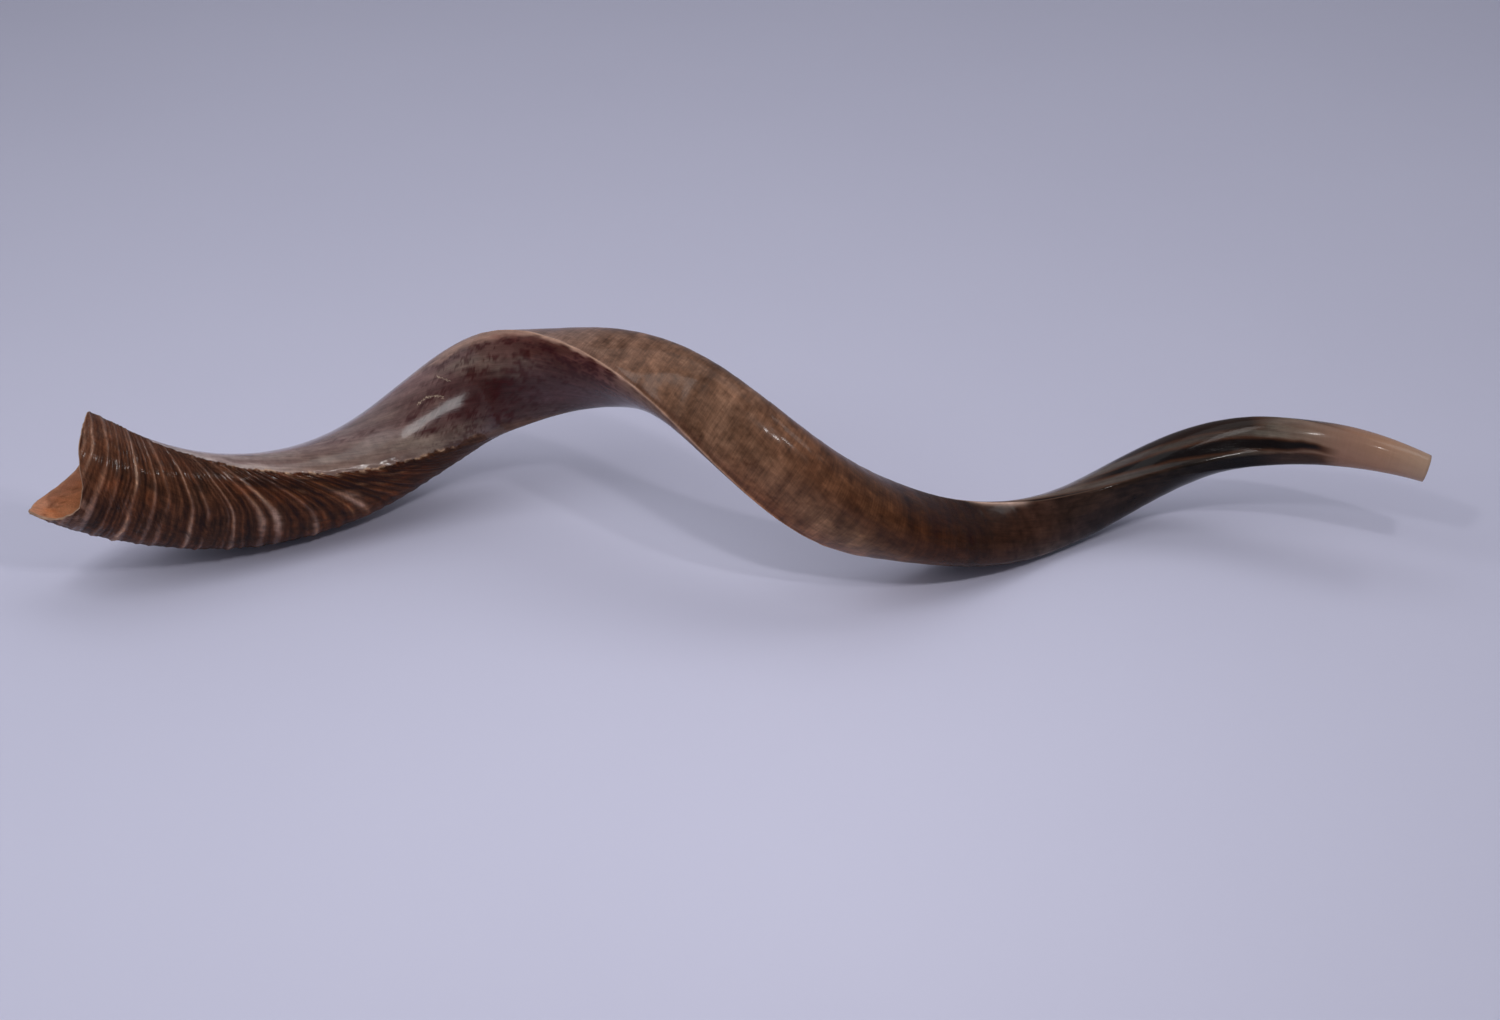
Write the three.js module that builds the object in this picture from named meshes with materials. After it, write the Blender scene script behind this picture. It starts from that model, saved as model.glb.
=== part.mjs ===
// A shofar made from one whole corkscrew horn.
//
// Millimetres, +Z up. The horn lies on the plane Z = 0 as it does on a table:
// the open bell is at -X and the mouthpiece at +X. The whole instrument is one
// piece of horn. It is hollow from the bell for about four fifths of its run,
// solid near the tip, and drilled through the tip, where a small cup is cut.
//
// The centreline is a right-handed helix round a nearly level axis. Across it
// the horn is a rounded lens with two ridges: a sharp keel (angle 0) and a
// blunt ridge (angle 180). The full outer face lies between them on one side,
// and a flatter inner face on the other. The section turns with the helix.
import * as THREE from "three";
import { ParametricGeometry } from "three/addons/geometries/ParametricGeometry.js";

// --- driving dimensions --------------------------------------------------

const AXIS_START = new THREE.Vector3(-440.28, 36.15, 53.02); // helix axis at the bell
const AXIS_END = new THREE.Vector3(433.17, 5.17, 5.44); // helix axis at the mouthpiece

// Evenly spaced stations from bell (0) to mouthpiece (1):
// helix radius, helix phase in degrees (0 = +Y, 90 = +Z), half width from
// ridge to ridge, roll of the keel from the outward direction in degrees,
// bulge of the outer face, bulge of the inner face.
const STATIONS = [
  [47.63, -174.0, 36.94, 50.06, 30.59, 18.94],
  [47.51, -142.27, 38.06, 55.89, 33.32, 21.11],
  [47.53, -113.16, 39.6, 52.88, 36.29, 21.98],
  [47.56, -84.56, 40.67, 45.71, 38.7, 21.57],
  [47.43, -54.32, 40.37, 39.11, 39.75, 19.9],
  [47.01, -20.86, 38.03, 36.99, 38.9, 17.13],
  [46.33, 13.76, 34.42, 38.32, 37.22, 14.09],
  [45.48, 46.22, 30.88, 40.19, 36.37, 11.87],
  [44.59, 76.6, 28.42, 41.83, 36.72, 10.72],
  [43.78, 107.92, 27.83, 44.39, 37.49, 10.17],
  [43.04, 141.53, 28.74, 47.3, 37.96, 9.87],
  [42.1, 175.46, 28.72, 46.73, 37.58, 9.75],
  [40.74, 207.96, 25.92, 40.0, 36.01, 9.73],
  [39.28, 239.73, 22.09, 30.77, 33.75, 9.51],
  [38.08, 272.05, 19.66, 23.99, 31.45, 8.82],
  [36.99, 305.15, 18.8, 20.58, 29.29, 8.03],
  [35.54, 338.65, 18.29, 19.04, 27.14, 7.85],
  [33.59, 372.06, 17.35, 18.53, 24.68, 8.47],
  [31.48, 404.74, 15.75, 19.11, 21.43, 9.32],
  [29.58, 436.06, 13.1, 20.85, 15.9, 9.7],
  [28.23, 465.38, 9.0, 23.88, 9.0, 9.0],
];

// How far the bell's edge is set back, as a share of the run, every 15 degrees
// round the section from the keel. The two ridges stand forward as corners.
const RIM_SETBACK = [
  0.0045, 0.0096, 0.0136, 0.0172, 0.0202, 0.021, 0.0175, 0.0118, 0.0075, 0.0056,
  0.0051, 0.0053, 0.0062, 0.0075, 0.0093, 0.0113, 0.0144, 0.0172, 0.018, 0.0149,
  0.0103, 0.0052, 0.002, 0.002,
];

const RUN_LENGTH = 988; // along the centreline
const RIDGE_POWER = 1.15; // 1 is an ellipse, more is a sharper ridge
const KEEL_POWER = 0.5; // extra sharpness on the keel's outer side
const WALL_AT = [0, 0.1, 0.3, 0.5, 0.65, 1]; // shares of the run
const WALL = [2.4, 2.8, 3.0, 3.2, 3.6, 5.0]; // wall thickness there
const RIDGE_WALL = 1.6; // extra wall inside each ridge
const CAVITY_NARROWS_AT = 0.58; // share of the run where the cavity starts to close
const CAVITY_ENDS_AT = 0.79; // share of the run where it is down to the bore
const BORE_RADIUS = 4.25;
const CUP_RADIUS = 7.0;
const CUP_DEPTH = 16.0;

const AROUND = 24; // facets round the section
const OUTER_STEPS = 72; // facets along the outside
const INNER_STEPS = 42; // facets along the cavity and bore, behind the cup
const CUP_STEPS = 5;

// --- functions along the horn --------------------------------------------

const { clamp, degToRad, lerp, smoothstep } = THREE.MathUtils;

const stations = new THREE.CubicInterpolant(
  Float64Array.from(STATIONS, (_, i) => i / (STATIONS.length - 1)),
  Float64Array.from(STATIONS.flat()),
  6,
);

function station(s) {
  const [radius, phase, half, roll, outer, inner] = stations.evaluate(
    clamp(s, 0, 1),
  );
  return {
    radius,
    phase: degToRad(phase),
    half,
    roll: degToRad(roll),
    outer,
    inner,
  };
}

function centre(s) {
  const { radius, phase } = station(s);
  return new THREE.Vector3()
    .lerpVectors(AXIS_START, AXIS_END, s)
    .add(
      new THREE.Vector3(
        0,
        radius * Math.cos(phase),
        radius * Math.sin(phase),
      ),
    );
}

// Unit directions at s: towards the keel, and towards the middle of the outer face.
function directions(s) {
  const { phase, roll } = station(s);
  const step = 1e-4;
  const tangent = centre(Math.min(s + step, 1))
    .sub(centre(Math.max(s - step, 0)))
    .normalize();
  const out = new THREE.Vector3(0, Math.cos(phase), Math.sin(phase));
  out.addScaledVector(tangent, -out.dot(tangent)).normalize();
  const turn = new THREE.Vector3().crossVectors(tangent, out);
  const keel = new THREE.Vector3()
    .addScaledVector(out, Math.cos(roll))
    .addScaledVector(turn, Math.sin(roll));
  const face = new THREE.Vector3()
    .addScaledVector(out, Math.sin(roll))
    .addScaledVector(turn, -Math.cos(roll));
  return { keel, face };
}

// The share of the run where the bell's edge lies at this angle.
function rimSetback(angle) {
  const n = RIM_SETBACK.length;
  const x = (((angle / (2 * Math.PI)) % 1) + 1) % 1;
  const i = Math.floor(x * n) % n;
  const q = x * n - Math.floor(x * n);
  const [a, b, c, d] = [i - 1, i, i + 1, i + 2].map(
    (k) => RIM_SETBACK[(k + n) % n],
  );
  return (
    b +
    0.5 *
      q *
      (c - a + q * (2 * a - 5 * b + 4 * c - d + q * (3 * (b - c) + d - a)))
  );
}

function wallThickness(s) {
  let i = 1;
  while (i < WALL_AT.length - 1 && s > WALL_AT[i]) i++;
  return lerp(
    WALL[i - 1],
    WALL[i],
    (s - WALL_AT[i - 1]) / (WALL_AT[i] - WALL_AT[i - 1]),
  );
}

// Rounded-lens outline: a is towards the keel, b towards the outer face.
function outline(s, angle, half, outer, inner) {
  const round = smoothstep(s, 0.82, 0.98);
  const cos = Math.cos(angle),
    sin = Math.sin(angle);
  let power = RIDGE_POWER - (RIDGE_POWER - 1) * round;
  if (sin >= 0)
    power +=
      KEEL_POWER *
      smoothstep(s, 0.12, 0.32) *
      (1 - round) *
      Math.max(0, cos);
  return [
    half * cos,
    (sin >= 0 ? outer : inner) * Math.sign(sin) * Math.abs(sin) ** power,
  ];
}

function place(s, a, b, target) {
  const { keel, face } = directions(s);
  return target
    .copy(centre(s))
    .addScaledVector(keel, a)
    .addScaledVector(face, b);
}

function outsidePoint(s, angle, target) {
  const { half, outer, inner } = station(s);
  const [a, b] = outline(s, angle, half, outer, inner);
  return place(s, a, b, target);
}

function insidePoint(s, angle, target) {
  const { half, outer, inner } = station(s);
  const wall = wallThickness(s);
  const cos = Math.cos(angle),
    sin = Math.sin(angle);
  const [a, b] = outline(
    s,
    angle,
    half - wall - RIDGE_WALL * Math.abs(cos) ** 3,
    outer - wall,
    inner - wall,
  );
  const drilled =
    clamp(
      (s - CAVITY_NARROWS_AT) / (CAVITY_ENDS_AT - CAVITY_NARROWS_AT),
      0,
      1,
    ) ** 1.1;
  const nearMouth = clamp(1 - ((1 - s) * RUN_LENGTH) / CUP_DEPTH, 0, 1);
  const radius =
    BORE_RADIUS +
    (CUP_RADIUS - BORE_RADIUS) * Math.sin((nearMouth * Math.PI) / 2);
  const middle = (outer - inner) / 2;
  return place(
    s,
    lerp(a, radius * cos, drilled),
    lerp(b, middle + radius * sin, drilled),
    target,
  );
}

// --- the horn ------------------------------------------------------------

// Rings in order: outside from bell to mouthpiece, then inside and back. The
// last ring is the first one again, so the surface closes on itself.
const rings = [];
for (let i = 0; i <= OUTER_STEPS; i++)
  rings.push([outsidePoint, i / OUTER_STEPS]);
const cupShare = CUP_DEPTH / RUN_LENGTH;
for (let i = 0; i < CUP_STEPS; i++)
  rings.push([insidePoint, 1 - (cupShare * i) / CUP_STEPS]);
for (let i = 0; i <= INNER_STEPS; i++)
  rings.push([insidePoint, (1 - cupShare) * (1 - i / INNER_STEPS)]);
rings.push(rings[0]);

const skin = new ParametricGeometry(
  (u, v, target) => {
    const angle = 2 * Math.PI * (1 - (u === 1 ? 0 : u));
    const [point, share] = rings[Math.round(v * (rings.length - 1))];
    const edge = rimSetback(angle);
    point(edge + (1 - edge) * share, angle, target);
  },
  AROUND,
  rings.length - 1,
);

// The origin is under the middle of the horn, on the plane it lies on.
skin.computeBoundingBox();
const box = skin.boundingBox;
skin.translate(
  -(box.min.x + box.max.x) / 2,
  -(box.min.y + box.max.y) / 2,
  -box.min.z,
);

const hornMaterial = new THREE.MeshStandardMaterial({
  color: 0x5b4036,
  roughness: 0.38,
  metalness: 0,
});

const horn = new THREE.Mesh(skin, hornMaterial);
horn.name = "horn";

const shofar = new THREE.Group();
shofar.name = "shofar";
shofar.add(horn);

export default shofar;
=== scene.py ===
import math

import bpy
import numpy as np
from mathutils import Matrix, Vector


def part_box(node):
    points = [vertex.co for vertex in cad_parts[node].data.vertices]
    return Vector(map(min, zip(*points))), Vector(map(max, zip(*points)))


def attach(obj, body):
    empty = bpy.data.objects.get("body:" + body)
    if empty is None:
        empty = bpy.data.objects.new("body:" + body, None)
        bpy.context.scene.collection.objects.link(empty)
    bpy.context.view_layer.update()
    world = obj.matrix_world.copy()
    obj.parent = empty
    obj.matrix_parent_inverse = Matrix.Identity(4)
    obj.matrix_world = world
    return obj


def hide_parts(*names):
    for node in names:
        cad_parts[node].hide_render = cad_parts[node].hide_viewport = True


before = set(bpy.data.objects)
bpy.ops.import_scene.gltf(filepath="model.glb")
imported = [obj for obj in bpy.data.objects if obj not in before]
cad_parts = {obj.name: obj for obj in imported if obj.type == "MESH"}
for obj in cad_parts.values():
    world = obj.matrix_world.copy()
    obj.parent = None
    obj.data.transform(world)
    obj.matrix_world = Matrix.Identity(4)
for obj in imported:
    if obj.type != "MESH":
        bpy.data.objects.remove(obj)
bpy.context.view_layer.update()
CAD_LOW, CAD_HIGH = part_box("horn")

# ---------------------------------------------------------------- the horn's shape, in millimetres
# s is the share of the run from the bell (0) to the mouthpiece (1). phi goes round the section: 0 is the thin keel,
# 0 to 180 the outer face that carries the bark, 180 the blunt ridge, 180 to 360 the flatter polished inner face.
RUN = 988.0
AXIS_X = (-440.28, 433.17)
AXIS_Y = (36.15, 5.17)
AXIS_Z = (53.02, 5.44)
# s, helix radius, helix phase in degrees, half width, roll in degrees, outer bulge, inner bulge
STATIONS = np.array([
    [0.00, 47.63, -174.00, 36.94, 50.06, 30.59, 18.94],
    [0.05, 47.51, -142.27, 38.06, 55.89, 33.32, 21.11],
    [0.10, 47.53, -113.16, 39.60, 52.88, 36.29, 21.98],
    [0.15, 47.56, -84.56, 40.67, 45.71, 38.70, 21.57],
    [0.20, 47.43, -54.32, 40.37, 39.11, 39.75, 19.90],
    [0.25, 47.01, -20.86, 38.03, 36.99, 38.90, 17.13],
    [0.30, 46.33, 13.76, 34.42, 38.32, 37.22, 14.09],
    [0.35, 45.48, 46.22, 30.88, 40.19, 36.37, 11.87],
    [0.40, 44.59, 76.60, 28.42, 41.83, 36.72, 10.72],
    [0.45, 43.78, 107.92, 27.83, 44.39, 37.49, 10.17],
    [0.50, 43.04, 141.53, 28.74, 47.30, 37.96, 9.87],
    [0.55, 42.10, 175.46, 28.72, 46.73, 37.58, 9.75],
    [0.60, 40.74, 207.96, 25.92, 40.00, 36.01, 9.73],
    [0.65, 39.28, 239.73, 22.09, 30.77, 33.75, 9.51],
    [0.70, 38.08, 272.05, 19.66, 23.99, 31.45, 8.82],
    [0.75, 36.99, 305.15, 18.80, 20.58, 29.29, 8.03],
    [0.80, 35.54, 338.65, 18.29, 19.04, 27.14, 7.85],
    [0.85, 33.59, 372.06, 17.35, 18.53, 24.68, 8.47],
    [0.90, 31.48, 404.74, 15.75, 19.11, 21.43, 9.32],
    [0.95, 29.58, 436.06, 13.10, 20.85, 15.90, 9.70],
    [1.00, 28.23, 465.38, 9.00, 23.88, 9.00, 9.00],
])
RIM_SETBACK = np.array([
    0.0045, 0.0096, 0.0136, 0.0172, 0.0202, 0.0210, 0.0175, 0.0118, 0.0075, 0.0056, 0.0051, 0.0053,
    0.0062, 0.0075, 0.0093, 0.0113, 0.0144, 0.0172, 0.0180, 0.0149, 0.0103, 0.0052, 0.0020, 0.0020,
])
WALL_AT = (0, 0.1, 0.3, 0.5, 0.65, 1)
WALL = (2.4, 2.8, 3.0, 3.2, 3.6, 5.0)
BORE_RADIUS, CUP_RADIUS, CUP_DEPTH = 4.25, 7.0, 16.0


def smooth(x, a, b):
    q = np.clip((np.asarray(x, float) - a) / (b - a), 0, 1)
    return q * q * (3 - 2 * q)


def bell_curve(x, centre, width):
    return np.exp(-(((np.asarray(x, float) - centre) / width) ** 2))


def spline(values, s):
    """A cubic through evenly spaced values, the same interpolant that the solid uses."""
    y = np.asarray(values, float)
    n = len(y) - 1
    x = np.clip(np.asarray(s, float), 0, 1) * n
    i = np.minimum(x.astype(int), n - 1)
    q = x - i
    y0, y1 = y[i], y[i + 1]
    yp = np.where(i > 0, y[np.maximum(i - 1, 0)], y[1])
    yn = np.where(i < n - 1, y[np.minimum(i + 2, n)], y[n - 1])
    wp = np.where(i > 0, 0.5, -0.5)
    wn = np.where(i < n - 1, 0.5, -0.5)
    qq, qqq = q * q, q * q * q
    return (
        (-wp * qqq + 2 * wp * qq - wp * q) * yp
        + ((1 + wp) * qqq + (-1.5 - 2 * wp) * qq + (-0.5 + wp) * q + 1) * y0
        + ((-1 - wn) * qqq + (1.5 + wn) * qq + 0.5 * q) * y1
        + (wn * qqq - wn * qq) * yn
    )


def rim(phi):
    y, n = RIM_SETBACK, len(RIM_SETBACK)
    x = (np.asarray(phi) / (2 * np.pi) % 1.0) * n
    i = x.astype(int) % n
    q = x - np.floor(x)
    a, b, c, e = y[(i - 1) % n], y[i], y[(i + 1) % n], y[(i + 2) % n]
    return b + 0.5 * q * (c - a + q * (2 * a - 5 * b + 4 * c - e + q * (3 * (b - c) + e - a)))


def axis_point(s):
    radius = spline(STATIONS[:, 1], s)
    turn = np.radians(spline(STATIONS[:, 2], s))
    return np.stack([
        AXIS_X[0] + (AXIS_X[1] - AXIS_X[0]) * s,
        AXIS_Y[0] + (AXIS_Y[1] - AXIS_Y[0]) * s + radius * np.cos(turn),
        AXIS_Z[0] + (AXIS_Z[1] - AXIS_Z[0]) * s + radius * np.sin(turn),
    ], -1), turn


def section_frame(s):
    s = np.asarray(s, float)
    centre, turn = axis_point(s)
    along = axis_point(np.clip(s + 1e-4, 0, 1))[0] - axis_point(np.clip(s - 1e-4, 0, 1))[0]
    along /= np.linalg.norm(along, axis=-1, keepdims=True)
    out = np.stack([0 * turn, np.cos(turn), np.sin(turn)], -1)
    out = out - (out * along).sum(-1, keepdims=True) * along
    out /= np.linalg.norm(out, axis=-1, keepdims=True)
    side = np.cross(along, out)
    roll = np.radians(spline(STATIONS[:, 4], s))[..., None]
    return centre, along, np.cos(roll) * out + np.sin(roll) * side, np.sin(roll) * out - np.cos(roll) * side


def outline_power(s):
    return 1.15 - 0.15 * smooth(s, 0.82, 0.98)


def section(s, phi):
    half, outer, inner = (spline(STATIONS[:, k], s) for k in (3, 5, 6))
    up = np.sin(phi)
    keel = 0.5 * smooth(s, 0.12, 0.32) * np.maximum(0, np.cos(phi)) * (outline_power(s) - 1) / 0.15
    power = outline_power(s) + np.where(up >= 0, keel, 0)
    return half * np.cos(phi), np.where(up >= 0, outer, inner) * np.sign(up) * np.abs(up) ** power


def outer_skin(s, phi):
    centre, _, ea, eb = section_frame(s)
    a, b = section(s, phi)
    return centre + a[..., None] * ea + b[..., None] * eb


def cavity_wall(s, phi):
    centre, _, ea, eb = section_frame(s)
    half, outer, inner = (spline(STATIONS[:, k], s) for k in (3, 5, 6))
    thin = smooth(s - rim(phi), 0.030, 0.0)
    wall = np.interp(s, WALL_AT, WALL) * (1 - 0.5 * thin)
    up, across = np.sin(phi), np.cos(phi)
    a = (half - wall - 1.6 * (1 - 0.85 * thin) * np.abs(across) ** 3) * across
    b = np.where(up >= 0, outer - wall, inner - wall) * np.sign(up) * np.abs(up) ** outline_power(s)
    m = np.clip((s - 0.58) / 0.21, 0, 1) ** 1.1
    cup = np.clip(1 - (1 - s) * 1018.0 / CUP_DEPTH, 0, 1)
    r = BORE_RADIUS + (CUP_RADIUS - BORE_RADIUS) * np.sin(cup * np.pi / 2)
    a = a * (1 - m) + m * r * across
    b = b * (1 - m) + m * ((outer - inner) / 2 + r * up)
    return centre + a[..., None] * ea + b[..., None] * eb


# ---------------------------------------------------------------- noise that is the same on every run
def lattice(ix, iy, iz, seed):
    h = (ix * 73856093) ^ (iy * 19349663) ^ (iz * 83492791) ^ (seed * 40503 + 977)
    h = h & 0x7FFFFFFF
    h = ((h ^ (h >> 13)) * 1274126177) & 0x7FFFFFFF
    h = ((h ^ (h >> 15)) * 668265263) & 0x7FFFFFFF
    h = h ^ (h >> 12)
    return (h & 0xFFFF) / 32767.5 - 1


def noise(x, y, z, seed):
    x, y, z = np.broadcast_arrays(np.asarray(x, float), np.asarray(y, float), np.asarray(z, float))
    fx, fy, fz = np.floor(x), np.floor(y), np.floor(z)
    ix, iy, iz = fx.astype(np.int64), fy.astype(np.int64), fz.astype(np.int64)
    u, v, w = x - fx, y - fy, z - fz
    u, v, w = (t * t * t * (t * (6 * t - 15) + 10) for t in (u, v, w))
    out = 0
    for dx in (0, 1):
        for dy in (0, 1):
            for dz in (0, 1):
                weight = (u if dx else 1 - u) * (v if dy else 1 - v) * (w if dz else 1 - w)
                out = out + weight * lattice(ix + dx, iy + dy, iz + dz, seed)
    return out


def cloud(x, y, z, seed, octaves=3, fall=0.55):
    total, size, scale = 0, 1.0, 1.0
    for k in range(octaves):
        total = total + size * noise(x * scale, y * scale, z * scale, seed + 17 * k)
        size, scale = size * fall, scale * 2.03
    return total


# ---------------------------------------------------------------- bark: growth rings on the outer face
# place along the run (share) on the middle of the outer face, height (1 = strongest), half width in mm
RINGS = (
    (0.0060, 0.35, 0.8), (0.0105, 0.45, 0.8), (0.0155, 0.60, 1.0), (0.0190, 0.30, 0.7), (0.0222, 0.40, 0.7),
    (0.0255, 0.85, 1.1), (0.0298, 0.35, 0.7), (0.0340, 0.60, 1.0), (0.0370, 0.32, 0.7), (0.0398, 0.38, 0.7),
    (0.0427, 0.35, 0.7), (0.0458, 1.00, 1.0), (0.0502, 0.32, 0.8), (0.0537, 0.36, 0.7), (0.0578, 0.60, 1.1),
    (0.0614, 0.26, 0.8), (0.0648, 0.80, 1.4), (0.0700, 0.32, 0.8), (0.0745, 0.30, 0.9), (0.0805, 0.95, 1.1),
    (0.0852, 0.30, 0.9), (0.0903, 0.66, 1.1), (0.0958, 0.30, 0.9), (0.0996, 0.28, 0.8), (0.1028, 0.42, 0.9),
    (0.1072, 1.00, 1.2), (0.1135, 0.55, 0.8), (0.1185, 0.30, 1.0), (0.1245, 0.72, 2.0), (0.1345, 0.95, 2.1),
    (0.1402, 0.28, 1.0), (0.1452, 0.32, 1.2), (0.1525, 0.42, 1.2), (0.1585, 0.85, 1.5), (0.1655, 0.60, 1.3),
    (0.1740, 0.42, 1.2), (0.1840, 0.72, 1.5), (0.1922, 0.75, 2.3), (0.2000, 0.42, 1.8), (0.2078, 0.36, 1.5),
    (0.2150, 0.46, 2.0), (0.2240, 0.36, 1.8), (0.2330, 0.42, 2.2), (0.2425, 0.34, 2.0), (0.2520, 0.38, 2.4),
    (0.2625, 0.30, 2.2), (0.2720, 0.34, 2.4), (0.2825, 0.26, 2.4), (0.2930, 0.28, 2.6), (0.3040, 0.22, 2.6),
)


def sweep(s, deg):
    t = smooth(s, 0.01, 0.15)
    return (0.0110 + 0.0335 * t) * np.clip((deg - 122) / 56, 0, 1.0) ** (1.1 + 1.15 * t)


def bent(s, deg):
    """The rings bend back toward the bell on their way to the blunt ridge, and more so further along."""
    return s + sweep(s, deg) - 0.0012 * np.clip((100 - deg) / 60, -0.3, 2.0)


# where the blunt ridge goes as it fades out toward the mouthpiece
def ridge_angle(s):
    t = np.clip((s - 0.72) / 0.2, 0, 1.4)
    return 182 + 58 * t + 13 * t * t


def bark_edge(s, L):
    """The angle at which the outer face gives way to the polished inner face."""
    edge = np.interp(s, [0, 0.08, 0.12, 0.15, 0.18, 0.20, 0.22, 0.24, 0.26, 0.28, 0.31, 0.36, 0.42], [187, 186, 182, 180, 178, 181, 187, 191, 196, 202, 210, 204, 186])
    edge = np.where(s > 0.6, ridge_angle(s), edge)
    return edge + (1 - 0.75 * smooth(s, 0.33, 0.42)) * (3.4 * noise(L / 9.0, 0.3, 0.7, 11) + 2.6 * noise(L / 3.4, 1.3, 0.2, 12) + 1.6 * noise(L / 1.5, 2.3, 0.9, 13))


def ring_relief(s, deg, L, a, b):
    """Ring height, 0 in the valleys to about 1 on a strong crest."""
    place = bent(s, deg) * RUN
    around = deg / 34.0
    place = place + 0.9 * noise(L / 16, around * 0.9, 0.5, 21) + 0.45 * noise(L / 5, around * 2.2, 0.1, 22)
    high = np.zeros_like(place)
    for k, (at, tall, wide) in enumerate(RINGS):
        x = place - at * RUN - 0.8 * noise(around * 0.8, k * 3.7, 0.4, 31)
        near = np.abs(x) < 9 * wide
        keep = tall * (0.78 + 0.42 * noise(around[near] * 1.3, k * 5.1, 0.8, 32))
        y = np.abs(x[near]) / wide
        high[near] = np.maximum(high[near], keep * (0.60 * np.exp(-(y ** 2)) + 0.40 * np.exp(-((y / 2.6) ** 2))))
    fine = 0.5 + 0.5 * noise(place / 2.1, around * 0.55, 0.2, 41)
    finer = 0.5 + 0.5 * noise(place / 1.1, around * 0.9, 0.7, 42)
    close = smooth(s, 0.075, 0.03)
    small = np.abs(((place + 0.6 * noise(L / 9, around, 0.6, 43)) / 2.6) % 1.0 - 0.5) * 2
    return high + ((0.22 + 0.08 * close) * fine ** 1.5 + 0.11 * finer + 0.24 * close * small ** 2) * (1 - 0.55 * high)


# ---------------------------------------------------------------- colours
def lin(*rgb):
    c = np.array(rgb, float) / 255
    return np.where(c <= 0.04045, c / 12.92, ((c + 0.055) / 1.055) ** 2.4)


def shades(x, stops):
    at = [p[0] for p in stops]
    table = np.array([lin(*p[1]) for p in stops])
    return np.stack([np.interp(x, at, table[:, k]) for k in range(3)], -1)


def mix(a, b, t):
    t = np.clip(t, 0, 1)[..., None]
    return a * (1 - t) + np.broadcast_to(b, a.shape) * t


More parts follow.
